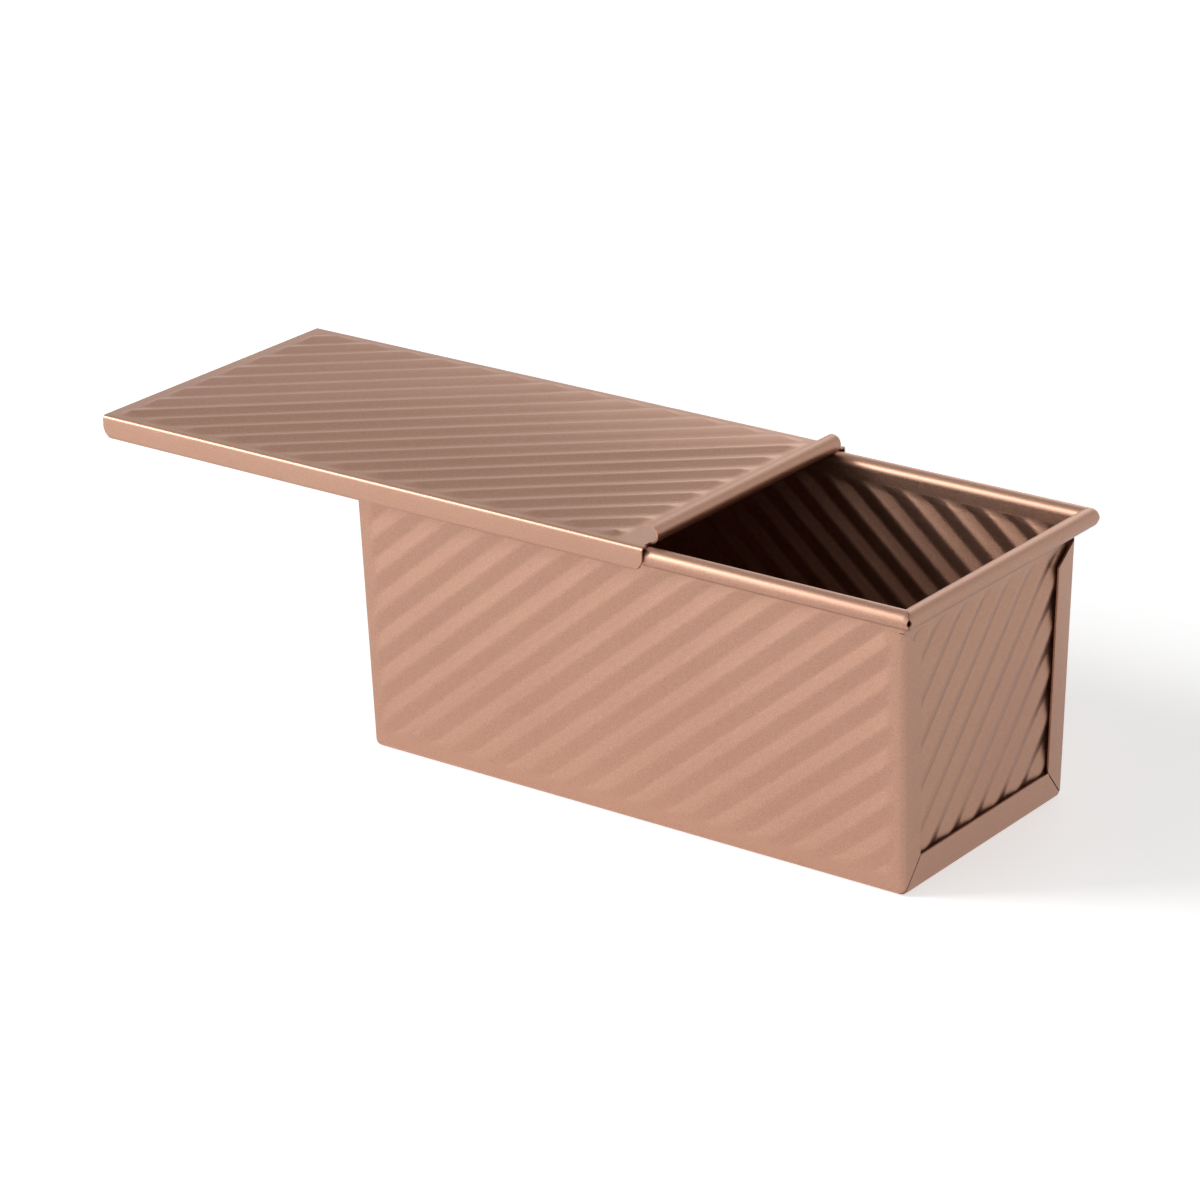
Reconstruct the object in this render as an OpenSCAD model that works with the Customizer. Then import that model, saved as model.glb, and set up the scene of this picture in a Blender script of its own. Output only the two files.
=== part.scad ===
// Pullman loaf pan: a folded sheet-steel tin with a wired rim and a sliding lid.
// Origin at the middle of the floor's underside, +Z up, +X towards the lid's grip.
// The lid is drawn slid open, as it lies in the picture.

/* [Pan] */
// Length over the rims
rim_len = 212; // [160:1:360]
// Width over the rims
rim_w = 106; // [80:1:160]
// Height to the top of the rims
rim_h = 92.7; // [70:0.5:130]
// Thickness of the steel sheet
sheet = 0.6; // [0.5:0.05:0.8]
// How far each long wall leans out between floor and rim
side_lean = 3.25; // [2:0.25:6]
// How far each end panel leans out between floor and rim
end_lean = 3.85; // [3:0.25:6]
// Outer radius of the folds along the floor
fold_r = 2; // [1.5:0.25:3]

/* [Rim] */
// Diameter of the wire inside the rolled rim
wire_d = 4.6; // [3.6:0.1:5.6]
// Play of the wire in its roll, all round
wire_play = 0.05; // [0.03:0.01:0.12]
// Gap between sheets that are crimped together
seam = 0.1; // [0.06:0.01:0.15]
// Gap that the rolled edge leaves before it meets the wall again
roll_slit = 0.3; // [0.2:0.05:0.5]

/* [Ribs] */
// Distance from rib to rib
rib_pitch = 9.6; // [8:0.1:14]
// Height of a rib
rib_rise = 1.1; // [0.6:0.05:1.4]
// Flat left along each ridge and each valley
rib_flat = 1; // [0.6:0.1:2]
// Length of the slope that closes the end of a rib
rib_end = 3; // [2:0.25:5]
// Angle of the ribs to the length of the walls and the floor
wall_rib_angle = 39.75; // [30:0.25:50]
// Angle of the ribs to the length of the lid
lid_rib_angle = 40.75; // [30:0.25:50]
// Angle of the ribs to the width of the end panels
end_rib_angle = 48; // [40:0.25:60]
// Plain border at the foot of the long walls
wall_border_low = 3.5; // [3:0.25:8]
// Plain border of the long walls below the top of the rim
wall_border_top = 6.2; // [6.2:0.1:12]
// Plain border of the end panels below the top of the rim
end_border_top = 10; // [7:0.25:16]
// Plain border along the other edges
border = 3; // [2.5:0.25:6]

/* [End frame] */
// Width of the folded frame beside each end panel
frame_w = 9; // [6:0.25:12]
// Height of the folded frame below each end panel
frame_h = 10.4; // [8:0.1:14]
// Depth of the end panel behind the frame at the floor
recess = 1.1; // [0.8:0.05:2]
// Depth of the end panel behind the frame at the rim
recess_top = 0.3; // [0.2:0.05:0.6]
// Gap of the mitred frame corners
mitre_gap = 0.4; // [0.2:0.05:0.8]
// Distance below the rim at which the frame's side strips are cut away
frame_cut = 15.7; // [14:0.1:30]
// Rise of that slanting cut
frame_cut_rise = 7; // [3:0.5:8]

/* [Lid] */
// Running clearance of the lid on the rims
lid_play = 0.3; // [0.25:0.05:0.5]
// How far the lid stands open in the picture
lid_open = 93; // [0:1:110]
// How far the closed lid's grip passes the rim
lid_past = 2.2; // [1:0.2:6]
// Outer diameter of the curled grip
grip_d = 5.8; // [4.6:0.1:8]
// Angle that the sheet of the grip turns through
grip_turn = 225; // [200:5:290]
// Distance of each end of the grip from the side of the lid
grip_inset = 5.5; // [4:0.25:10]
// Width of the notch between the grip and the side of the lid
grip_notch_w = 3; // [2:0.25:4]
// How far the side of the lid stops short of the grip's outside
corner_back = 2; // [1:0.1:2.6]
// Plain border of the lid between its ribs and the grip
grip_border = 7; // [4:0.25:12]
// Width of the hooks below the long rims
hook_w = 3.5; // [2.5:0.1:4]
// Outer radius of the lid's long folds
lid_fold_r = 1.2; // [1:0.1:1.6]
// Radius of the lower corners of the lid's sides
lid_corner_r = 4.5; // [3:0.25:6]

/* [Hidden] */
$fn = 48;
coat = [0.72, 0.52, 0.42];
steel = [0.62, 0.62, 0.64];

// How far from the middle of each surface the nearest ridge runs, across the ribs
wall_rib_shift = [-1.6, 0.5];
end_rib_shift = -4.3;
lid_rib_shift = -1.9;

roll_in = wire_d / 2 + wire_play;
bead_r = roll_in + sheet;
bead_x = rim_len / 2 - bead_r;
bead_y = rim_w / 2 - bead_r;
bead_z = rim_h - bead_r;
// Angle below the horizontal at which the rolled rim stops short of the wall
slit_angle = 228;

side_angle = atan(side_lean / (bead_z - sheet));
end_angle = atan(end_lean / (bead_z - sheet));
floor_y = bead_y - bead_r - side_lean;
fold_in = fold_r - sheet;
fold_y = floor_y + fold_in * (1 - sin(side_angle)) * tan(side_angle) - fold_in * cos(side_angle);
wall_len = (bead_z - fold_r + fold_in * sin(side_angle)) / cos(side_angle);

panel_x = bead_x - bead_r - end_lean - sheet * tan(end_angle);
frame_x = panel_x + sheet / cos(end_angle) + recess + sheet;
frame_top_x = bead_x - bead_r + 2 * sheet + recess_top;
frame_angle = atan((frame_top_x - frame_x) / bead_z);
cut_z = rim_h - frame_cut;

lid_left = -rim_len / 2 - lid_open;
grip_r = grip_d / 2;
grip_x = rim_len / 2 + lid_past - grip_r - lid_open;
lid_side = rim_w / 2 + lid_play + sheet;
lid_low = rim_h + lid_play;
lid_top = lid_low + sheet;
grip_z = lid_low + grip_r;
grip_half = lid_side - grip_inset;
corner_x = grip_x + grip_r - corner_back;
hook_low = bead_z - bead_r - lid_play - sheet;

far = 2 * rim_len + 2 * lid_open;
kink = 0.1;
bury = 0.3;

// Half width between the inner faces of the long walls at height z
function wall_inside(z) = floor_y + (z - sheet) * tan(side_angle);

// Section of the rib, from below the sheet's face up to the ridge
function rib_section() =
    let (ridge = rib_flat / 2)
    let (foot = (rib_pitch - rib_flat) / 2 + kink)
    [[-foot, -bury], [foot, -bury], [foot, 0], [ridge, rib_rise], [-ridge, rib_rise], [-foot, 0]];

// Section that slopes both ends of a rib field down to the sheet
function mesa_section(half) =
    let (top = half - rib_end * (rib_rise + kink) / rib_rise)
    let (foot = half + rib_end * kink / rib_rise)
    [[-foot, -2 * bury], [foot, -2 * bury], [foot, -kink],
     [top, rib_rise + kink], [-top, rib_rise + kink], [-foot, -kink]];

// Slanting ribs that stand up from z = 0 inside a rectangle round the origin
module rib_field(size_u, size_v, angle, shift) {
    reach = size_u + size_v;
    rows = ceil(reach / rib_pitch / 2) + 1;
    intersection() {
        rotate([0, 0, angle])
            for (i = [-rows:rows])
                translate([0, shift + i * rib_pitch, 0])
                    rotate([90, 0, 90])
                        linear_extrude(reach, center = true) polygon(rib_section());
        rotate([90, 0, 0])
            linear_extrude(size_v + reach, center = true) polygon(mesa_section(size_u / 2));
        rotate([90, 0, 90])
            linear_extrude(size_u + reach, center = true) polygon(mesa_section(size_v / 2));
    }
}

// A ring with a slit where the rolled edge ends
module roll_ring(slit_at) {
    difference() {
        circle(bead_r);
        circle(roll_in);
        rotate(slit_at) translate([0, -roll_slit / 2]) square([2 * bead_r, roll_slit]);
    }
}

// Everything beyond the plane of an end frame that is moved in by inset
module beyond_frame(inset) {
    translate([frame_x - inset, 0, 0])
        rotate([0, frame_angle, 0])
            translate([0, -far / 2, -far / 2]) cube([far, far, far]);
}

// Solid bar with round corners that follows the rim
module rim_bar(r) {
    for (side = [-1, 1]) {
        translate([0, side * bead_y, bead_z])
            rotate([0, 90, 0]) cylinder(r = r, h = 2 * bead_x, center = true);
        translate([side * bead_x, 0, bead_z])
            rotate([90, 0, 0]) cylinder(r = r, h = 2 * bead_y, center = true);
        for (end = [-1, 1])
            translate([end * bead_x, side * bead_y, bead_z]) sphere(r);
    }
}

// Solid bar along the rim over one end panel
module end_bar(r) {
    translate([bead_x, 0, bead_z])
        rotate([90, 0, 0]) cylinder(r = r, h = 2 * bead_y, center = true);
    for (side = [-1, 1])
        translate([bead_x, side * bead_y, bead_z]) sphere(r);
}

// Upright prism over the corners of one end: outside it the rolled rim belongs to the long
// walls, inside it to the end panel. grow moves its faces by that much
module end_corners(grow) {
    back = 2 * bead_r;
    x = bead_x - grow;
    y = bead_y + grow * tan(22.5);
    translate([0, 0, bead_z - bead_r - seam])
        linear_extrude(3 * bead_r)
            polygon([[x, y], [x, rim_w], [rim_len, rim_w], [rim_len, -rim_w], [x, -rim_w], [x, -y],
                     [x - back, back - y], [x - back, y - back]]);
}

// Floor, folds and long walls in section, without the beads
module wrap_section() {
    translate([-fold_y, 0]) square([2 * fold_y, sheet]);
    for (side = [0, 1])
        mirror([side, 0])
            translate([fold_y, fold_r]) {
                intersection() {
                    difference() {
                        circle(fold_r);
                        circle(fold_in);
                    }
                    polygon([[0, 0], [0, -2 * fold_r], [2 * fold_r, -2 * fold_r],
                             2 * fold_r * [cos(side_angle), -sin(side_angle)]]);
                }
                rotate(-side_angle) translate([fold_in, 0]) square([sheet, wall_len]);
            }
}

// Point at radius r round the axis of the right floor fold, turned that far below the level
function bend_point(r, turn) = [fold_y + r * cos(turn), fold_r - r * sin(turn)];

// Point beside the right wall's inner face, set in from it, at height z
function wall_point(inset, z) = [wall_inside(z) - inset / cos(side_angle), z];

// The points and their mirror images, in order round the outline
function both_sides(points) =
    concat(points, [for (i = [len(points) - 1:-1:0]) [-points[i][0], points[i][1]]]);

// Outline across the pan, set in from the inner faces by inset and stopped at height top
module cross_outline(inset, top) {
    r = fold_in - inset;
    polygon(both_sides([bend_point(r, 90), bend_point(0, 0), bend_point(r, side_angle),
                        wall_point(inset, top)]));
    for (side = [0, 1])
        mirror([side, 0])
            intersection() {
                translate(bend_point(0, 0)) circle(r);
                polygon([bend_point(0, 0), bend_point(2 * r, 90), bend_point(3 * r, 45),
                         bend_point(2 * r, side_angle)]);
            }
}

// The folded frame round one end panel, flat; its edge lies buried in the sheet it is folded from
module frame_outline() {
    r = fold_in + sheet / 2;
    top = cut_z + frame_cut_rise;
    window_foot = wall_inside(frame_h) + sheet - frame_w;
    window_top = wall_inside(cut_z) + sheet - frame_w;
    difference() {
        polygon(both_sides([bend_point(r, 90), bend_point(r, 45), bend_point(r, side_angle),
                            wall_point(-sheet / 2, top)]));
        polygon(both_sides([[window_foot, frame_h], [window_top, cut_z],
                            [window_top + frame_w, top], [window_top + frame_w, rim_h]]));
        for (side = [0, 1])
            mirror([side, 0]) {
                corner = [fold_y + fold_in, fold_r - fold_in] - [window_foot, frame_h];
                translate([window_foot, frame_h])
                    rotate(atan2(corner[1], corner[0]))
                        translate([-mitre_gap, -mitre_gap / 2])
                            square([norm(corner) + mitre_gap, mitre_gap]);
            }
    }
}

module end_frame() {
    translate([frame_x, 0, 0])
        rotate([0, frame_angle, 0])
            translate([-sheet, 0, 0])
                rotate([90, 0, 90]) linear_extrude(sheet) frame_outline();
}

// Turns a rib field into place on the outer face of the front wall, pointing inwards
module on_front_wall() {
    low = fold_r + wall_border_low;
    middle = (low + rim_h - wall_border_top) / 2;
    translate([0, -wall_inside(middle) - sheet / cos(side_angle), middle])
        rotate([90 + side_angle, 0, 0]) mirror([0, 0, 1]) children();
}

module wall_ribs(side, out) {
    size_u = 2 * (frame_x - border);
    size_v = rim_h - wall_border_top - fold_r - wall_border_low;
    mirror([0, side, 0])
        on_front_wall()
            translate([0, 0, out])
                rib_field(size_u, size_v, wall_rib_angle * (1 - 2 * side), wall_rib_shift[side]);
}

module floor_ribs(out) {
    translate([0, 0, out])
        rib_field(2 * (frame_x - border), 2 * (fold_y - border), -wall_rib_angle, rib_pitch / 2);
}

module pan_wrap() {
    color(coat)
    difference() {
        union() {
            difference() {
                rotate([90, 0, 90]) linear_extrude(rim_len, center = true) wrap_section();
                for (end = [0, 1])
                    mirror([end, 0, 0]) beyond_frame(0);
            }
            for (side = [0, 1])
                mirror([0, side, 0])
                    translate([0, bead_y, bead_z])
                        rotate([90, 0, 90])
                            linear_extrude(2 * bead_x, center = true) roll_ring(slit_angle);
            for (end = [0, 1])
                mirror([end, 0, 0]) end_frame();
            for (side = [0, 1])
                wall_ribs(side, sheet);
            floor_ribs(sheet);
        }
        for (side = [0, 1])
            wall_ribs(side, 0);
        floor_ribs(0);
        for (end = [0, 1])
            mirror([end, 0, 0]) end_corners(seam);
    }
}

// Places a flat outline in the plane of the end panel, thick towards the outside
module on_end_panel(out, thick) {
    translate([panel_x, 0, 0])
        rotate([0, end_angle, 0])
            translate([out, 0, 0])
                rotate([90, 0, 90]) linear_extrude(thick) children();
}

module end_ribs(out) {
    low = fold_r + border;
    middle = (low + rim_h - end_border_top) / 2;
    size_u = 2 * (wall_inside(low) - border);
    size_v = rim_h - end_border_top - low;
    translate([panel_x, 0, 0])
        rotate([0, end_angle, 0])
            translate([sheet - out, 0, middle])
                rotate([90, 0, 90]) mirror([0, 0, 1])
                    rib_field(size_u, size_v, end_rib_angle, end_rib_shift);
}

module end_panel() {
    panel_top = bead_z / cos(end_angle);
    lip_top = cut_z - 2 * sheet;
    difference() {
        union() {
            on_end_panel(0, sheet) cross_outline(seam, panel_top);
            difference() {
                on_end_panel(sheet / 2, 2 * recess + sheet) difference() {
                    cross_outline(seam, lip_top);
                    cross_outline(seam + sheet, lip_top + sheet);
                }
                beyond_frame(sheet + seam);
            }
            intersection() {
                end_bar(bead_r);
                end_corners(0);
            }
            end_ribs(sheet);
        }
        end_ribs(0);
        end_bar(roll_in);
        translate([bead_x, 0, bead_z])
            rotate([0, -slit_angle, 0])
                translate([0, -bead_y, -roll_slit / 2])
                    cube([bead_r + seam, 2 * bead_y, roll_slit]);
    }
}

module end_panel_left() {
    color(coat) mirror([1, 0, 0]) end_panel();
}

module end_panel_right() {
    color(coat) end_panel();
}

module rim_wire() {
    color(steel) rim_bar(wire_d / 2);
}

// Lid sheet in section: top, sides and the hooks below the rims
module lid_section() {
    top_half = lid_side - lid_fold_r;
    side_len = lid_top - hook_low - 2 * lid_fold_r;
    translate([-top_half, lid_low]) square([2 * top_half, sheet]);
    for (side = [0, 1])
        mirror([side, 0]) {
            translate([lid_side - sheet, hook_low + lid_fold_r]) square([sheet, side_len]);
            translate([lid_side - hook_w, hook_low]) square([hook_w - lid_fold_r, sheet]);
            for (up = [0, 1])
                translate([top_half, up == 1 ? lid_top - lid_fold_r : hook_low + lid_fold_r])
                    mirror([0, 1 - up])
                        intersection() {
                            difference() {
                                circle(lid_fold_r);
                                circle(lid_fold_r - sheet);
                            }
                            square(lid_fold_r);
                        }
        }
}

// Side view of the lid's sheet: the lower corners are round
module lid_side_outline() {
    r = lid_corner_r;
    translate([lid_left, hook_low + r]) square([corner_x - lid_left, lid_top - hook_low]);
    translate([lid_left + r, hook_low - sheet]) square([corner_x - lid_left - 2 * r, 2 * r]);
    for (x = [lid_left + r, corner_x - r])
        translate([x, hook_low + r]) circle(r);
}

// What is cut from the sheet in front of the grip's bend, round in its corners
module grip_notch() {
    r = grip_notch_w / 2;
    inner = grip_half + grip_notch_w;
    difference() {
        translate([grip_x, -inner]) square([far, 2 * inner]);
        for (side = [0, 1])
            mirror([0, side])
                translate([grip_x, inner - r])
                    difference() {
                        square(r + kink);
                        translate([r, 0]) circle(r);
                    }
    }
}

// The grip in section: the sheet curls up and back over itself
module grip_section() {
    reach = 2 * grip_r;
    translate([grip_x, grip_z])
        difference() {
            circle(grip_r);
            circle(grip_r - sheet);
            polygon([[0, 0], [0, -reach], [-reach, -reach], reach * [-1, 0],
                     reach * [cos(grip_turn - 90), sin(grip_turn - 90)]]);
        }
}

module lid_ribs(out) {
    left = lid_left + border + sheet;
    right = grip_x - grip_r - grip_border;
    translate([(left + right) / 2, 0, lid_low + out])
        rib_field(right - left, 2 * (lid_side - border), lid_rib_angle, lid_rib_shift);
}

module lid() {
    plate_len = corner_x - lid_left;
    color(coat)
    difference() {
        union() {
            difference() {
                intersection() {
                    translate([lid_left + plate_len / 2, 0, 0])
                        rotate([90, 0, 90])
                            linear_extrude(plate_len, center = true) lid_section();
                    rotate([90, 0, 0])
                        linear_extrude(4 * lid_side, center = true) lid_side_outline();
                }
                translate([0, 0, lid_low - sheet]) linear_extrude(3 * sheet) grip_notch();
            }
            rotate([90, 0, 0]) linear_extrude(2 * grip_half, center = true) grip_section();
            lid_ribs(sheet);
        }
        lid_ribs(0);
    }
}

pan_wrap();
end_panel_left();
end_panel_right();
rim_wire();
lid();
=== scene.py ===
from math import atan, cos, pi, radians, sin, tan

import bmesh
import bpy
from mathutils import Matrix, Vector


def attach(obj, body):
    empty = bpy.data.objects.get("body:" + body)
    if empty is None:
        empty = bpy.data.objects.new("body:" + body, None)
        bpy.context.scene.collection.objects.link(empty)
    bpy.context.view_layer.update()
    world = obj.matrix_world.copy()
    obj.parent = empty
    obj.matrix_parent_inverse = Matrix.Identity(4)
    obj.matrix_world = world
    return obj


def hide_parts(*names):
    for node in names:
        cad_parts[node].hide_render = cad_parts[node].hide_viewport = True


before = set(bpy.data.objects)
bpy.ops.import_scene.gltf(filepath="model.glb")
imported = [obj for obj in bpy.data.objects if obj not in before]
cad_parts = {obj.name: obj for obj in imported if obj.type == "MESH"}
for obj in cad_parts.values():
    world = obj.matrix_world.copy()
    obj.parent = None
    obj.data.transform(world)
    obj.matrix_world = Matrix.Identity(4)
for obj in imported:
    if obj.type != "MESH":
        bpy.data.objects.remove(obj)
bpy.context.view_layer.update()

# Lengths are in millimetres unless a comment says otherwise; MM turns them into scene units
MM = 0.001

# Sheet, wire and the gap between sheets that are crimped together
SHEET = 0.6
WIRE_R = 2.3
WIRE_PLAY = 0.05
WIRE_SIDES = 20
WIRE_BEND = 3.2
WIRE_BEND_STEPS = 6
SEAM = 0.1

# Pan over its rims, the lean of its long walls, and the folds along its floor
RIM_LEN = 212
RIM_W = 106
RIM_H = 92.7
SIDE_LEAN = 3.25
FOLD_R = 2
FOLD_STEPS = 6

# Rolled rim
BEAD_R = WIRE_R + WIRE_PLAY + SHEET
ROLL_TURN = radians(311)
ROLL_STEPS = 30
# At a corner the outer half of a roll turns in rings, each a little wider than the roll
ELBOW_TURN = radians(44.4)
ELBOW_RINGS = (1.02, 1.07)
# Half of the slit between two rolls at the inside of a corner
MITRE_SLIT = 0.06
# Hole where two elbows meet: how far from its middle a row of points lies at most, and how far
# that row is drawn back
HOLE_ROWS = ((0.5, 0.6), (0.95, 0.35))
# The rings are widened, and the hole is cut, outward from these distances to the corner
ELBOW_START = 0.1
HOLE_START = 1

# Frame folded round each end: its outer face at the floor and at the rim, its strips, its bend
FRAME_X = 99.2
FRAME_TOP_X = 100.55
FRAME_W = 9
FRAME_H = 10.4
FRAME_BEND = 1.6
BEND_SEGMENTS = 4
MITRE_GAP = 0.4
# Slanting cut of its side strips: the height at their inner edge, and the rise to the wall
CUT_Z = 77
CUT_RISE = 7
# From this height up the long walls run on to the frame's plane and cover the end panel's flare
TAB_Z = 84.4
TAB_REACH = 3

# End panels: depth behind the frame, start of the flare to the rim, round of the low corners,
# and width of the lip that is turned out under the frame and trimmed there
RECESS = 1.1
FLARE_Z = 83
PANEL_BEND = 1
PANEL_LIP = 3

# Lid, as it stands open in the photo
LID_PLAY = 0.3
LID_OPEN = 93
LID_RIGHT = 13.2
LID_BEND = 1.2
LID_BEND_STEPS = 5
LID_CORNER_R = 4.5
LID_CORNER_CUTS = 6
HOOK_W = 3.5
# Rolled grip: the line and the height of its roll's centre, half its length, its turn, and the
# notches beside it
GRIP_X = 12.3
GRIP_Z = 95.897
GRIP_HALF = 48.4
GRIP_TURN = radians(225)
GRIP_STEPS = 24
NOTCH_W = 3

# Ribs: half their height, the round of crest and valley, the slope that closes their ends, and
# a narrow strip round the ribs that keeps their shading off the plain sheet
RIB_HALF = 0.55
RIB_ROUND = 0.9
RIB_SLOPE = 3
RIB_MARGIN = 0.35
# Angle of the ribs, distance from rib to rib, and distance of a ridge from the panel's origin
FRONT_RIBS = (radians(39.75), 9.6, 8.287)
BACK_RIBS = (radians(-39.5), 9.28, 1.859)
FLOOR_RIBS = (radians(-39.75), 9.6, 4.8)
END_RIBS = (radians(48), 9.42, 1.53)
LID_RIBS = (radians(40.75), 9.7, 2.751)
# Plain borders beside the ribs; those of the long walls are measured up from the floor's fold
BORDER = 3
WALL_RIBS_FOOT = 3.5
WALL_RIBS_TOP = 84.4
FLARE_BORDER = 1
LID_BORDER_LEFT = 3.6
LID_RIBS_RIGHT = 2.6

# Tests that pick parts of a mesh: how near a point lies to a place, a ring or a plane, the cosine
# of the angle between a face and that plane, and the least angle at a fold
NEAR = 0.01
ON_RING = 0.03
IN_PLANE = 0.02
FACING = 0.999
UPRIGHT = 0.99
LEVEL = 0.9
FOLDED = 1
# Points nearer than this become one, in a cut and in a weld
CUT_SNAP = 0.001
WELD = 0.004
SMOOTH_ANGLE = radians(34)

# Worked out from the sizes above
BEAD_X = RIM_LEN / 2 - BEAD_R
BEAD_Y = RIM_W / 2 - BEAD_R
BEAD_Z = RIM_H - BEAD_R
ROLL_MID = BEAD_R - SHEET / 2
# What lies above this belongs to the rim
RIM_FROM_Z = BEAD_Z - BEAD_R - 0.5
FLOOR_Y = BEAD_Y - BEAD_R - SIDE_LEAN
SIDE_ANGLE = atan(SIDE_LEAN / (BEAD_Z - SHEET))
FOLD_IN = FOLD_R - SHEET
FOLD_MID = FOLD_R - SHEET / 2
FOLD_Y = FLOOR_Y + FOLD_IN * (1 - sin(SIDE_ANGLE)) * tan(SIDE_ANGLE) - FOLD_IN * cos(SIDE_ANGLE)
WALL_LEN = (BEAD_Z - FOLD_R + FOLD_IN * sin(SIDE_ANGLE)) / cos(SIDE_ANGLE)
FRAME_ANGLE = atan((FRAME_TOP_X - FRAME_X) / BEAD_Z)
PANEL_X = FRAME_X - SHEET - RECESS - SHEET / 2
LID_LEFT = -RIM_LEN / 2 - LID_OPEN
LID_SIDE = RIM_W / 2 + LID_PLAY + SHEET
LID_Z = RIM_H + LID_PLAY + SHEET / 2
LID_FOLD = LID_BEND - SHEET / 2
HOOK_Z = BEAD_Z - BEAD_R - LID_PLAY - SHEET / 2

# Studio, with places and sizes in metres: what each lamp is called, its place, size and power
LAMPS = (("key_softbox", (-1.3, -1.0, 1.1), 0.6, 22),
         ("front_softbox", (-0.6, -1.5, 0.75), 1.2, 6),
         ("back_softbox", (-0.5, 1.7, 0.9), 1, 4))
LAMP_TARGET = (0, 0, 0.05)
FLOOR_SIZE = 30
FLOOR_GLOW = 0.6
SKY = 0.15

# Camera: its place, the turn and height that it looks from, its roll, and its lens
CAMERA_PLACE = (743.238, -1050.345, 565.805)
AZIMUTH = radians(-53.197)
ELEVATION = radians(21.568)
ROLL = radians(-0.988)
LENS = 135.56
SENSOR = 36


def wall_inside(z):
    """Half width between the inner faces of the long walls."""
    return FLOOR_Y + (z - SHEET) * tan(SIDE_ANGLE)


# Modelling steps

def at(x, y, z):
    return Vector((x, y, z)) * MM


def select_none():
    if bpy.context.mode != "OBJECT":
        bpy.ops.object.mode_set(mode="OBJECT")
    bpy.ops.object.select_all(action="DESELECT")


def start_mesh(name):
    """Names the mesh just added, makes its place part of its shape and opens it."""
    obj = bpy.context.object
    obj.name = obj.data.name = name
    bpy.ops.object.transform_apply(location=True, rotation=True, scale=True)
    bpy.ops.object.mode_set(mode="EDIT")
    return obj


def plate(name, size, middle):
    """A flat level plate, left open in edit mode."""
    select_none()
    bpy.ops.mesh.primitive_plane_add(size=1, location=at(*middle))
    bpy.ops.transform.resize(value=(size[0] * MM, size[1] * MM, 1))
    return start_mesh(name)


def centre_of(element):
    if isinstance(element, bmesh.types.BMVert):
        return element.co / MM
    if isinstance(element, bmesh.types.BMEdge):
        return (element.verts[0].co + element.verts[1].co) / 2 / MM
    return element.calc_center_median() / MM


def pick(kind, test):
    """Selects the vertices, edges or faces that show and pass the test. The test gets the
    element's middle and the element."""
    bpy.ops.mesh.select_all(action="DESELECT")
    bpy.ops.mesh.select_mode(type=kind)
    mesh = bpy.context.edit_object.data
    shape = bmesh.from_edit_mesh(mesh)
    shape.normal_update()
    elements = {"VERT": shape.verts, "EDGE": shape.edges, "FACE": shape.faces}[kind]
    chosen = [e for e in elements if not e.hide and test(centre_of(e), e)]
    for e in chosen:
        e.select_set(True)
    shape.select_flush_mode()
    bmesh.update_edit_mesh(mesh)
    return len(chosen)


def show_all():
    bpy.ops.mesh.reveal(select=False)


def only(test):
    """Hides all faces but those that pass the test."""
    show_all()
    pick("FACE", test)
    bpy.ops.mesh.hide(unselected=True)


def cut(point, normal, clear=False):
    """Cuts all that shows along a plane; clear takes away the side the normal points to."""
    bpy.ops.mesh.select_all(action="SELECT")
    bpy.ops.mesh.bisect(plane_co=Vector(point) * MM, plane_no=normal, threshold=CUT_SNAP * MM)
    if clear:
        point, normal = Vector(point), Vector(normal)
        if pick("FACE", lambda c, f: (c - point).dot(normal) > 0):
            bpy.ops.mesh.delete(type="FACE")


def push(vector):
    bpy.ops.mesh.extrude_region_move(
        TRANSFORM_OT_translate={"value": Vector(vector) * MM})


def move(vector):
    bpy.ops.transform.translate(value=Vector(vector) * MM)


def scale_about(point, factors):
    bpy.ops.transform.resize(value=factors, center_override=Vector(point) * MM)


def spin(centre, axis, angle, steps):
    """Sweeps the selected edges round an axis, right-handed."""
    bpy.ops.mesh.spin(steps=steps, angle=-angle, center=Vector(centre) * MM, axis=axis)


def bevel(width, affect):
    bpy.ops.mesh.bevel(offset=width * MM, segments=BEND_SEGMENTS, affect=affect,
                       clamp_overlap=False)


def merge():
    bpy.ops.mesh.select_all(action="SELECT")
    bpy.ops.mesh.remove_doubles(threshold=WELD * MM)


def finish_mesh(obj):
    """Welds the mesh, turns its faces out and leaves it as the only selected object."""
    merge()
    bpy.ops.mesh.normals_make_consistent(inside=False)
    select_none()
    obj.select_set(True)
    bpy.context.view_layer.objects.active = obj


def finish_sheet(obj):
    """Gives the finished shell its wall and smooths it."""
    finish_mesh(obj)
    wall = obj.modifiers.new("wall", "SOLIDIFY")
    wall.thickness = SHEET * MM
    wall.offset = 0
    bpy.ops.object.modifier_apply(modifier=wall.name)
    bpy.ops.object.shade_smooth_by_angle(angle=SMOOTH_ANGLE)


def boundary(edge):
    return len(edge.link_faces) == 1


# Ribs

def rib_height(across, pitch):
    """From 1 on a ridge to -1 in a valley, both rounded; across is 0 on a ridge."""
    t = abs((across + pitch / 2) % pitch - pitch / 2)
    steep = 2 / (pitch / 2 - RIB_ROUND)
    if t < RIB_ROUND:
        return 1 - steep * t * t / (2 * RIB_ROUND)
    low = pitch / 2 - t
    if low < RIB_ROUND:
        return -1 + steep * low * low / (2 * RIB_ROUND)
    return 1 - steep * (t - RIB_ROUND / 2)


def rib_lines(pitch):
    """Where a rib is cut along its length, as distances from its ridge."""
    crest = (0, RIB_ROUND / 2, RIB_ROUND)
    one_side = crest + tuple(pitch / 2 - line for line in crest[1:])
    other_side = tuple(-line for line in one_side)
    return other_side + one_side[1:] + (pitch / 2,)


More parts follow.
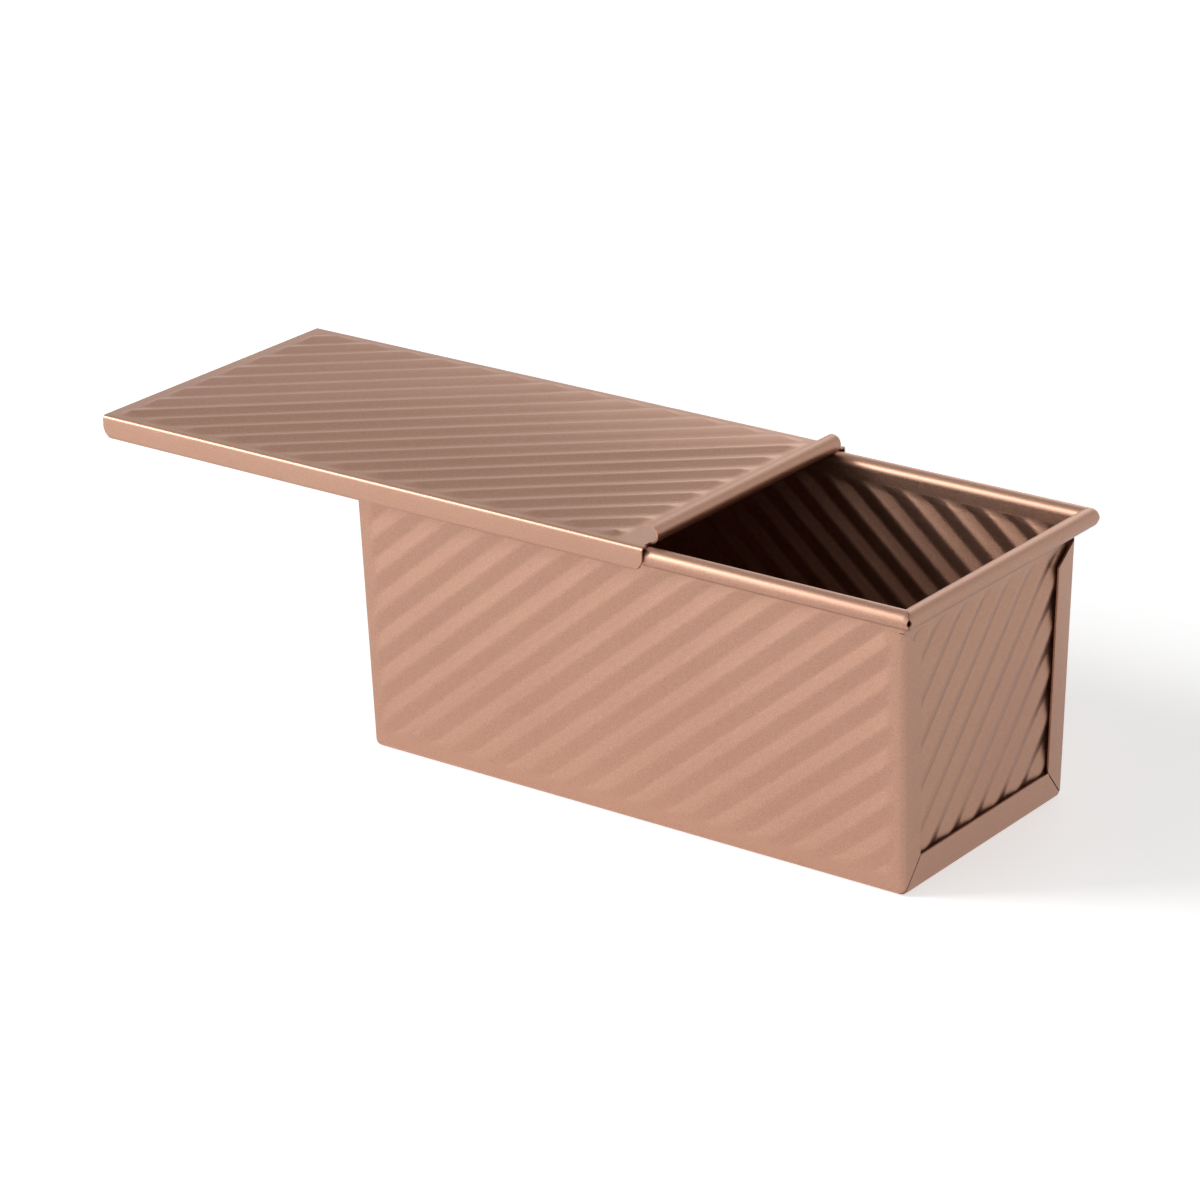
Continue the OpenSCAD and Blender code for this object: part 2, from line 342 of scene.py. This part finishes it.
def raise_points(height, out):
    """Moves the vertices that show along out, in groups of one height."""
    mesh = bpy.context.edit_object.data
    bpy.ops.mesh.select_mode(type="VERT")
    groups = {}
    for vert in bmesh.from_edit_mesh(mesh).verts:
        if not vert.hide:
            h = round(height(vert.co / MM), 2)
            if h:
                groups.setdefault(h, []).append(vert.index)
    for h, members in groups.items():
        bpy.ops.mesh.select_all(action="DESELECT")
        shape = bmesh.from_edit_mesh(mesh)
        shape.verts.ensure_lookup_table()
        for i in members:
            shape.verts[i].select_set(True)
        bmesh.update_edit_mesh(mesh)
        move(out * h)


def rib_panel(origin, u, v, out, size, ribs, valleys_flat=False):
    """Presses slanting ribs into the flat faces round the origin, which out stands on. u and v
    lie in them, and size is (u from, u to, v from, v to). The ribs run from u towards v. They are
    pressed both ways, or with valleys_flat only along out."""
    origin, u, v, out = Vector(origin), Vector(u), Vector(v), Vector(out)
    u0, u1, v0, v1 = size
    angle, pitch, ridge = ribs
    across = v * cos(angle) - u * sin(angle)
    lift = 1 if valleys_flat else 0

    def here(c):
        return (c - origin).dot(u), (c - origin).dot(v)

    def height(c):
        x, y = here(c)
        edge = min(x - u0, u1 - x) / RIB_SLOPE, min(y - v0, v1 - y) / RIB_SLOPE
        full = min(max(edge[0], 0), 1) * min(max(edge[1], 0), 1)
        rib = rib_height(y * cos(angle) - x * sin(angle) - ridge, pitch)
        return RIB_HALF * full * (lift + rib)

    pick("FACE", lambda c, f: abs((c - origin).dot(out)) < IN_PLANE
         and abs(f.normal.dot(out)) > FACING)
    bpy.ops.mesh.hide(unselected=True)
    for step in (-RIB_MARGIN, 0, RIB_SLOPE / 3, 2 * RIB_SLOPE / 3, RIB_SLOPE):
        cut(origin + u * (u0 + step), u)
        cut(origin + u * (u1 - step), u)
        cut(origin + v * (v0 + step), v)
        cut(origin + v * (v1 - step), v)
    pick("FACE", lambda c, f: u0 < here(c)[0] < u1 and v0 < here(c)[1] < v1)
    bpy.ops.mesh.hide(unselected=True)
    corners = [y * cos(angle) - x * sin(angle) for x in (u0, u1) for y in (v0, v1)]
    first = int((min(corners) - ridge) / pitch) - 1
    last = int((max(corners) - ridge) / pitch) + 1
    for i in range(first, last + 1):
        for line in rib_lines(pitch):
            place = ridge + i * pitch + line
            if min(corners) < place < max(corners):
                cut(origin + across * place, across)
    raise_points(height, out)
    show_all()


# Corners of the rolled rim

def roll_corner(end, side, along):
    """Turns the end of a roll round a corner of the rim, to meet the next roll halfway. along is
    "x" for the long rolls and "y" for the end rolls."""
    corner = Vector((end * BEAD_X, side * BEAD_Y, 0))
    mine, other = Vector((end, 0, 0)), Vector((0, side, 0))
    if along == "y":
        mine, other = other, mine
    turn = 1 if mine.cross(other).z > 0 else -1
    # Margin of the tests that find this roll's faces and points
    slack = 0.2
    # Takes in the faces that run from corner to corner, whose middle is half a rim away
    whole_roll = RIM_LEN / 2 + BEAD_R

    def level(c):
        return Vector((c.x, c.y, 0)) - corner

    only(lambda c, f: c.z > RIM_FROM_Z and level(c).dot(other) > -BEAD_R - slack
         and level(c).dot(mine) > -whole_roll)
    cut(corner - mine * MITRE_SLIT, (mine - other).normalized(), clear=True)
    show_all()
    pick("EDGE", lambda c, e: boundary(e) and c.z > RIM_FROM_Z
         and abs(level(c).dot(mine)) < NEAR and 0 < level(c).dot(other) < BEAD_R)
    spin(corner, (0, 0, 1), -turn * ELBOW_TURN, len(ELBOW_RINGS))

    def on_ring(c, angle, start):
        """True for points of the ring at this angle that lie further out than start."""
        flat = mine * sin(angle) + other * cos(angle)
        away = mine * cos(angle) - other * sin(angle)
        return (c.z > RIM_FROM_Z and abs(level(c).dot(away)) < ON_RING
                and start < level(c).dot(flat) < BEAD_R + slack)

    for ring, grow in enumerate(ELBOW_RINGS, 1):
        angle = ELBOW_TURN * ring / len(ELBOW_RINGS)
        pick("VERT", lambda c, v: on_ring(c, angle, ELBOW_START))
        scale_about(corner, (grow, grow, 1))
    back = other * sin(ELBOW_TURN) - mine * cos(ELBOW_TURN)
    low = 0
    for high, depth in HOLE_ROWS:
        pick("VERT", lambda c, v: low <= abs(c.z - BEAD_Z) < high
             and on_ring(c, ELBOW_TURN, HOLE_START))
        move(back * depth)
        low = high


# Pan: one sheet makes both long walls, the floor and the end frames

def end_plane(end, inset):
    """A point of the end frame's plane, moved in by inset, and its outward normal."""
    return (Vector((end * (FRAME_X - inset), 0, 0)),
            Vector((end * cos(FRAME_ANGLE), 0, -sin(FRAME_ANGLE))))


def beyond(end, inset):
    """Measures how far a point lies outside that plane."""
    point, normal = end_plane(end, inset)
    return lambda c: (c - point).dot(normal)


def build_wrap():
    obj = plate("pan_sheet", (2 * BEAD_X, 2 * FOLD_Y), (0, 0, SHEET / 2))
    for side in (-1, 1):
        pick("EDGE", lambda c, e: boundary(e) and abs(c.y - side * FOLD_Y) < NEAR)
        spin((0, side * FOLD_Y, FOLD_R), (1, 0, 0), side * (pi / 2 - SIDE_ANGLE), FOLD_STEPS)
        push((0, side * WALL_LEN * sin(SIDE_ANGLE), WALL_LEN * cos(SIDE_ANGLE)))
        spin((0, side * BEAD_Y, BEAD_Z), (1, 0, 0), -side * ROLL_TURN, ROLL_STEPS)
    merge()
    for end in (-1, 1):
        fold_end(end)
    cover_flares()
    for end in (-1, 1):
        for side in (-1, 1):
            roll_corner(end, side, "x")
    press_pan_ribs()
    finish_sheet(obj)
    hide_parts("pan_wrap")
    return obj


def fold_end(end):
    """Cuts the trough along the end frame's plane and folds a frame round the end."""
    far = beyond(end, SHEET / 2)
    point, normal = end_plane(end, SHEET / 2)
    window_x = end * (FRAME_X + FRAME_H * tan(FRAME_ANGLE) - SHEET / 2 / cos(FRAME_ANGLE))
    window_y = wall_inside(FRAME_H) + SHEET - FRAME_W

    def on_plane(c):
        return abs(far(c)) < NEAR and c.z < BEAD_Z + NEAR

    def new_point(v):
        """True for the frame's own points, whose edges all lie in its plane."""
        return all(abs(far(centre_of(e))) < NEAR for e in v.link_edges)

    only(lambda c, f: c.z < RIM_FROM_Z)
    cut(point, normal, clear=True)
    show_all()
    pick("EDGE", lambda c, e: boundary(e) and on_plane(c))
    push((0, 0, 0))
    for side in (-1, 1):
        pick("VERT", lambda c, v: on_plane(c) and c.z > BEAD_Z - SHEET and c.y * side > 0
             and new_point(v))
        move((0, -side * FRAME_W, 0))
        pick("VERT", lambda c, v: on_plane(c) and c.z < FOLD_R + 1 and c.y * side > 0
             and new_point(v))
        scale_about((window_x, side * window_y, FRAME_H), (0, 0, 0))
    merge()
    for side in (-1, 1):
        top = Vector((0, side * (wall_inside(CUT_Z) + SHEET - FRAME_W), CUT_Z))
        slope = Vector((0, -side * CUT_RISE, FRAME_W)).normalized()
        only(lambda c, f: abs(far(c)) < NEAR and c.y * side > 0)
        cut(top, slope, clear=True)
    show_all()
    pick("EDGE", lambda c, e: on_plane(c) and len(e.link_faces) == 2
         and e.calc_face_angle(0) > FOLDED)
    bevel(FRAME_BEND, "EDGES")
    for side in (-1, 1):
        corner = Vector((0, side * (FOLD_Y + FOLD_IN), FOLD_R - FOLD_IN))
        window = Vector((0, side * window_y, FRAME_H))
        mitre = (window - corner).normalized()
        over = Vector((0, -mitre.z, mitre.y))
        # The strip along the floor crosses the middle, so both its corners have to cut it
        only(lambda c, f: far(c) > -FRAME_BEND and c.z < RIM_FROM_Z and c.y * side > -SHEET)
        for half in (-0.5, 0.5):
            cut(corner + over * half * MITRE_GAP, over)
        show_all()
        pick("FACE", lambda c, f: far(c) > -FRAME_BEND and c.z < FRAME_H + 1 and c.y * side > 0
             and abs((Vector((0, c.y, c.z)) - corner).dot(over)) < MITRE_GAP / 2)
        bpy.ops.mesh.delete(type="FACE")


def cover_flares():
    """Above the frames the walls run on to the frames' planes, to cover the end panels' flares."""
    only(lambda c, f: abs(f.normal.y) > UPRIGHT)
    cut((0, 0, TAB_Z), (0, 0, 1))
    show_all()
    for end in (-1, 1):
        far = beyond(end, SHEET / 2)
        pick("VERT", lambda c, v: abs(c.z - TAB_Z) < NEAR and far(c) > -TAB_REACH)
        tab_x = end * (FRAME_X - SHEET / 2 + TAB_Z * tan(FRAME_ANGLE))
        scale_about((tab_x, 0, TAB_Z), (0, 1, 1))


def press_pan_ribs():
    half = FRAME_X - BORDER
    for side, ribs in ((-1, FRONT_RIBS), (1, BACK_RIBS)):
        foot = (0, side * (FOLD_Y + FOLD_MID * cos(SIDE_ANGLE)),
                FOLD_R - FOLD_MID * sin(SIDE_ANGLE))
        up = (0, side * sin(SIDE_ANGLE), cos(SIDE_ANGLE))
        out = (0, side * cos(SIDE_ANGLE), -sin(SIDE_ANGLE))
        rib_panel(foot, (1, 0, 0), up, out, (-half, half, WALL_RIBS_FOOT, WALL_RIBS_TOP),
                  ribs)
    across = FOLD_Y - BORDER
    rib_panel((0, 0, SHEET / 2), (1, 0, 0), (0, 1, 0), (0, 0, 1), (-half, half, -across, across),
              FLOOR_RIBS, valleys_flat=True)


# End panels

def build_end_panel(end):
    gap = SEAM + SHEET / 2
    base = SHEET + gap
    lean = tan(FRAME_ANGLE)
    # The lip stops a little below the frame's slanting cut, so that the frame hides its end
    lip_top = CUT_Z - 2 * SHEET
    # A level plate is narrowed to the edge that the panel grows from
    start = 2
    obj = plate("end_sheet_right" if end > 0 else "end_sheet_left", (start, 2 * BEAD_Y),
                (end * (PANEL_X - start / 2), 0, 0))
    pick("VERT", lambda c, v: c.x * end < PANEL_X - start / 2)
    bpy.ops.mesh.delete(type="VERT")
    pick("EDGE", lambda c, e: True)
    move((end * base * lean, 0, base))
    push((end * (FLARE_Z - base) * lean, 0, FLARE_Z - base))
    push((end * (BEAD_X - ROLL_MID - PANEL_X - FLARE_Z * lean), 0, BEAD_Z - FLARE_Z))
    spin((end * BEAD_X, 0, BEAD_Z), (0, 1, 0), end * ROLL_TURN, ROLL_STEPS)
    merge()
    for side in (-1, 1):
        roll_corner(end, side, "y")

    def below_roll(c, f):
        return min(v.co.z for v in f.verts) / MM < BEAD_Z - BEAD_R

    def on_lip(c, f):
        return abs(f.normal.x) < 0.3 and c.z < lip_top

    only(below_roll)
    cut((0, 0, lip_top), (0, 0, 1))
    for side in (-1, 1):
        wall = Vector((0, side * cos(SIDE_ANGLE), -sin(SIDE_ANGLE)))
        only(lambda c, f: c.z < lip_top)
        cut((0, side * (FLOOR_Y - gap / cos(SIDE_ANGLE)), SHEET), wall, clear=True)
        only(lambda c, f: c.z > lip_top and below_roll(c, f))
        cut((0, side * (FLOOR_Y - SEAM), SHEET), wall, clear=True)
    show_all()
    pick("VERT", lambda c, v: c.z < base + NEAR)
    bevel(PANEL_BEND, "VERTICES")
    pick("EDGE", lambda c, e: boundary(e) and c.z < lip_top - NEAR)
    push((end * PANEL_LIP, 0, 0))
    point, normal = end_plane(end, SHEET + SEAM)
    only(on_lip)
    cut(point, normal, clear=True)
    show_all()
    half = wall_inside(FOLD_R + BORDER) - BORDER
    rib_panel((end * PANEL_X, 0, 0), (0, 1, 0), (end * sin(FRAME_ANGLE), 0, cos(FRAME_ANGLE)),
              normal, (-half, half, FOLD_R + BORDER, FLARE_Z - FLARE_BORDER), END_RIBS)
    finish_sheet(obj)
    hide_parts("end_panel_right" if end > 0 else "end_panel_left")
    return obj


# Wire

def build_wire():
    """A closed hoop of round wire, drawn from the middle of the front."""
    spot = Vector((0, -BEAD_Y, BEAD_Z))
    select_none()
    bpy.ops.mesh.primitive_circle_add(vertices=WIRE_SIDES, radius=WIRE_R * MM,
                                      location=spot * MM, rotation=(0, pi / 2, 0))
    obj = start_mesh("wire_hoop")
    bpy.ops.mesh.select_mode(type="EDGE")
    bpy.ops.mesh.select_all(action="SELECT")
    run_x, run_y = 2 * (BEAD_X - WIRE_BEND), 2 * (BEAD_Y - WIRE_BEND)
    heading = Vector((1, 0, 0))
    for run in (run_x / 2, run_y, run_x, run_y):
        push(heading * run)
        spot += heading * run
        left = Vector((-heading.y, heading.x, 0))
        spin(spot + left * WIRE_BEND, (0, 0, 1), pi / 2, WIRE_BEND_STEPS)
        spot += (left + heading) * WIRE_BEND
        heading = left
    push(heading * (run_x / 2))
    finish_mesh(obj)
    bpy.ops.object.shade_smooth_by_angle(angle=SMOOTH_ANGLE)
    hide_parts("rim_wire")
    return obj


# Lid

def build_lid():
    flat = LID_SIDE - LID_FOLD - SHEET / 2
    notch_out = GRIP_HALF + NOTCH_W
    obj = plate("lid_sheet", (LID_RIGHT - LID_LEFT, 2 * flat),
                ((LID_RIGHT + LID_LEFT) / 2, 0, LID_Z))
    for side in (-1, 1):
        pick("EDGE", lambda c, e: boundary(e) and abs(c.y - side * flat) < NEAR)
        spin((0, side * flat, LID_Z - LID_FOLD), (1, 0, 0), -side * pi / 2, LID_BEND_STEPS)
        push((0, 0, HOOK_Z + 2 * LID_FOLD - LID_Z))
        spin((0, side * flat, HOOK_Z + LID_FOLD), (1, 0, 0), -side * pi / 2, LID_BEND_STEPS)
        push((0, -side * (HOOK_W - LID_FOLD - SHEET / 2), 0))
    merge()
    round_low_corners()

    def on_top(c, f):
        return abs(f.normal.z) > LEVEL and c.z > RIM_H

    for y in (-notch_out, -GRIP_HALF, GRIP_HALF, notch_out):
        only(on_top)
        cut((0, y, 0), (0, 1, 0))
    only(lambda c, f: on_top(c, f) and abs(c.y) < notch_out)
    cut((GRIP_X, 0, 0), (1, 0, 0), clear=True)
    show_all()
    pick("EDGE", lambda c, e: boundary(e) and abs(c.x - GRIP_X) < NEAR and abs(c.y) < GRIP_HALF
         and c.z > RIM_H)
    spin((GRIP_X, 0, GRIP_Z), (0, 1, 0), -GRIP_TURN, GRIP_STEPS)
    merge()
    rib_panel((0, 0, LID_Z), (1, 0, 0), (0, 1, 0), (0, 0, 1),
              (LID_LEFT + LID_BORDER_LEFT, LID_RIBS_RIGHT, BORDER - LID_SIDE, LID_SIDE - BORDER),
              LID_RIBS, valleys_flat=True)
    finish_sheet(obj)
    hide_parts("lid")
    return obj


def round_low_corners():
    """Trims the low corners of the lid's sides along a quarter circle."""
    for end, x in ((-1, LID_LEFT), (1, LID_RIGHT)):
        centre = Vector((x - end * LID_CORNER_R, 0, HOOK_Z - SHEET / 2 + LID_CORNER_R))
        for k in range(LID_CORNER_CUTS):
            turn = pi / 2 * (k + 0.5) / LID_CORNER_CUTS
            away = Vector((end * cos(turn), 0, -sin(turn)))
            cut(centre + away * LID_CORNER_R, away, clear=True)


# Finishes

def new_material(name):
    material = bpy.data.materials.new(name)
    material.use_nodes = True
    return material, material.node_tree.nodes, material.node_tree.links


def metal_grain():
    """Fine flakes between two colours and two roughnesses, with faint clouds over them."""
    group = bpy.data.node_groups.new("metal_grain", "ShaderNodeTree")
    for name, kind in (("Dark", "Color"), ("Light", "Color"), ("Clouds", "Color"),
                       ("Smooth", "Float"), ("Rough", "Float"), ("Scale", "Float")):
        group.interface.new_socket(name=name, in_out="INPUT", socket_type="NodeSocket" + kind)
    for name, kind in (("Color", "Color"), ("Roughness", "Float"), ("Height", "Float")):
        group.interface.new_socket(name=name, in_out="OUTPUT", socket_type="NodeSocket" + kind)
    nodes, links = group.nodes, group.links
    given = nodes.new("NodeGroupInput")
    result = nodes.new("NodeGroupOutput")
    place = nodes.new("ShaderNodeTexCoord")

    flakes = nodes.new("ShaderNodeTexNoise")
    flakes.inputs["Detail"].default_value = 2
    links.new(place.outputs["Object"], flakes.inputs["Vector"])
    links.new(given.outputs["Scale"], flakes.inputs["Scale"])
    spread = nodes.new("ShaderNodeMapRange")
    spread.inputs["From Min"].default_value = 0.3
    spread.inputs["From Max"].default_value = 0.7
    links.new(flakes.outputs["Fac"], spread.inputs["Value"])
    tone = nodes.new("ShaderNodeMixRGB")
    links.new(spread.outputs["Result"], tone.inputs["Fac"])
    links.new(given.outputs["Dark"], tone.inputs["Color1"])
    links.new(given.outputs["Light"], tone.inputs["Color2"])

    clouds = nodes.new("ShaderNodeTexNoise")
    clouds.inputs["Scale"].default_value = 22
    clouds.inputs["Detail"].default_value = 3
    links.new(place.outputs["Object"], clouds.inputs["Vector"])
    uneven = nodes.new("ShaderNodeMixRGB")
    uneven.blend_type = "MULTIPLY"
    links.new(clouds.outputs["Fac"], uneven.inputs["Fac"])
    links.new(tone.outputs["Color"], uneven.inputs["Color1"])
    links.new(given.outputs["Clouds"], uneven.inputs["Color2"])
    links.new(uneven.outputs["Color"], result.inputs["Color"])

    rough = nodes.new("ShaderNodeMapRange")
    links.new(spread.outputs["Result"], rough.inputs["Value"])
    links.new(given.outputs["Smooth"], rough.inputs["To Min"])
    links.new(given.outputs["Rough"], rough.inputs["To Max"])
    links.new(rough.outputs["Result"], result.inputs["Roughness"])
    links.new(flakes.outputs["Fac"], result.inputs["Height"])
    return group


def speckled_metal(name, grain, metallic, **looks):
    """A metal with the grain over it; looks are the values of the grain's inputs."""
    material, nodes, links = new_material(name)
    surface = nodes["Principled BSDF"]
    surface.inputs["Metallic"].default_value = metallic
    speckle = nodes.new("ShaderNodeGroup")
    speckle.node_tree = grain
    for look, value in looks.items():
        speckle.inputs[look].default_value = value
    links.new(speckle.outputs["Color"], surface.inputs["Base Color"])
    links.new(speckle.outputs["Roughness"], surface.inputs["Roughness"])
    bump = nodes.new("ShaderNodeBump")
    bump.inputs["Strength"].default_value = 0.25
    bump.inputs["Distance"].default_value = 0.00005
    links.new(speckle.outputs["Height"], bump.inputs["Height"])
    links.new(bump.outputs["Normal"], surface.inputs["Normal"])
    return material


def rose_gold_coating(grain):
    material = speckled_metal("rose_gold_coating", grain, 0.95, Dark=(0.42, 0.238, 0.166, 1),
                              Light=(0.55, 0.326, 0.236, 1), Clouds=(0.93, 0.90, 0.90, 1),
                              Smooth=0.36, Rough=0.49, Scale=2600)
    surface = material.node_tree.nodes["Principled BSDF"]
    surface.inputs["Coat Weight"].default_value = 0.1
    surface.inputs["Coat Roughness"].default_value = 0.35
    return material


def plain_wire_steel(grain):
    return speckled_metal("plain_wire_steel", grain, 0.9, Dark=(0.10, 0.096, 0.092, 1),
                          Light=(0.16, 0.154, 0.147, 1), Clouds=(0.85, 0.83, 0.80, 1),
                          Smooth=0.42, Rough=0.58, Scale=1500)


def coat(piece, material):
    piece.data.materials.clear()
    piece.data.materials.append(material)


# Studio

def background_ray(nodes, links):
    """1 for rays that show the background itself: seen directly, mirrored or through glass."""
    ray = nodes.new("ShaderNodeLightPath")
    glossy = nodes.new("ShaderNodeMath")
    glossy.operation = "MAXIMUM"
    links.new(ray.outputs["Is Camera Ray"], glossy.inputs[0])
    links.new(ray.outputs["Is Glossy Ray"], glossy.inputs[1])
    clear = nodes.new("ShaderNodeMath")
    clear.operation = "MAXIMUM"
    links.new(glossy.outputs["Value"], clear.inputs[0])
    links.new(ray.outputs["Is Transmission Ray"], clear.inputs[1])
    return clear.outputs["Value"]


def studio_floor():
    select_none()
    bpy.ops.mesh.primitive_plane_add(size=FLOOR_SIZE, location=(0, 0, 0))
    floor = bpy.context.object
    floor.name = "studio_floor"
    material, nodes, links = new_material("studio_white")
    surface = nodes["Principled BSDF"]
    surface.inputs["Base Color"].default_value = (0.82, 0.82, 0.82, 1)
    surface.inputs["Roughness"].default_value = 0.9
    surface.inputs["Emission Color"].default_value = (1, 1, 1, 1)
    glow = nodes.new("ShaderNodeMath")
    glow.operation = "MULTIPLY"
    glow.inputs[1].default_value = FLOOR_GLOW
    links.new(background_ray(nodes, links), glow.inputs[0])
    links.new(glow.outputs["Value"], surface.inputs["Emission Strength"])
    floor.data.materials.append(material)


def studio_sky():
    """Lights the object softly, and shows as white that dims overhead."""
    world = bpy.data.worlds.new("studio")
    world.use_nodes = True
    bpy.context.scene.world = world
    nodes, links = world.node_tree.nodes, world.node_tree.links
    soft = nodes["Background"]
    soft.inputs["Color"].default_value = (1, 1, 1, 1)
    soft.inputs["Strength"].default_value = SKY
    white = nodes.new("ShaderNodeBackground")
    white.inputs["Color"].default_value = (1, 1, 1, 1)
    direction = nodes.new("ShaderNodeTexCoord")
    parts = nodes.new("ShaderNodeSeparateXYZ")
    links.new(direction.outputs["Generated"], parts.inputs["Vector"])
    overhead = nodes.new("ShaderNodeMapRange")
    overhead.inputs["From Min"].default_value = 0.15
    overhead.inputs["From Max"].default_value = 0.9
    overhead.inputs["To Min"].default_value = 1
    overhead.inputs["To Max"].default_value = 0.55
    links.new(parts.outputs["Z"], overhead.inputs["Value"])
    links.new(overhead.outputs["Result"], white.inputs["Strength"])
    mix = nodes.new("ShaderNodeMixShader")
    links.new(background_ray(nodes, links), mix.inputs["Fac"])
    links.new(soft.outputs["Background"], mix.inputs[1])
    links.new(white.outputs["Background"], mix.inputs[2])
    links.new(mix.outputs["Shader"], nodes["World Output"].inputs["Surface"])


def lamp(name, place, size, power):
    bpy.ops.object.light_add(type="AREA", location=place)
    light = bpy.context.object
    light.name = name
    light.data.size = size
    light.data.energy = power
    way = Vector(LAMP_TARGET) - Vector(place)
    light.rotation_euler = way.to_track_quat("-Z", "Y").to_euler()


def camera():
    bpy.ops.object.camera_add()
    cam = bpy.context.object
    cam.name = "photo_camera"
    cam.matrix_world = (Matrix.Translation(at(*CAMERA_PLACE))
                        @ Matrix.Rotation(AZIMUTH + pi / 2, 4, "Z")
                        @ Matrix.Rotation(pi / 2 - ELEVATION, 4, "X")
                        @ Matrix.Rotation(ROLL, 4, "Z"))
    cam.data.lens = LENS
    cam.data.sensor_width = SENSOR
    cam.data.clip_start = 0.05
    cam.data.clip_end = 20
    bpy.context.scene.camera = cam


wrap = build_wrap()
left = build_end_panel(-1)
right = build_end_panel(1)
wire = build_wire()
lid = build_lid()
for piece in (wrap, left, right, wire):
    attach(piece, "pan")
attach(lid, "lid_body")

grain = metal_grain()
coating = rose_gold_coating(grain)
for piece in (wrap, left, right, lid):
    coat(piece, coating)
coat(wire, plain_wire_steel(grain))

studio_floor()
studio_sky()
for name, place, size, power in LAMPS:
    lamp(name, place, size, power)
camera()
bpy.context.scene.view_settings.view_transform = "Standard"
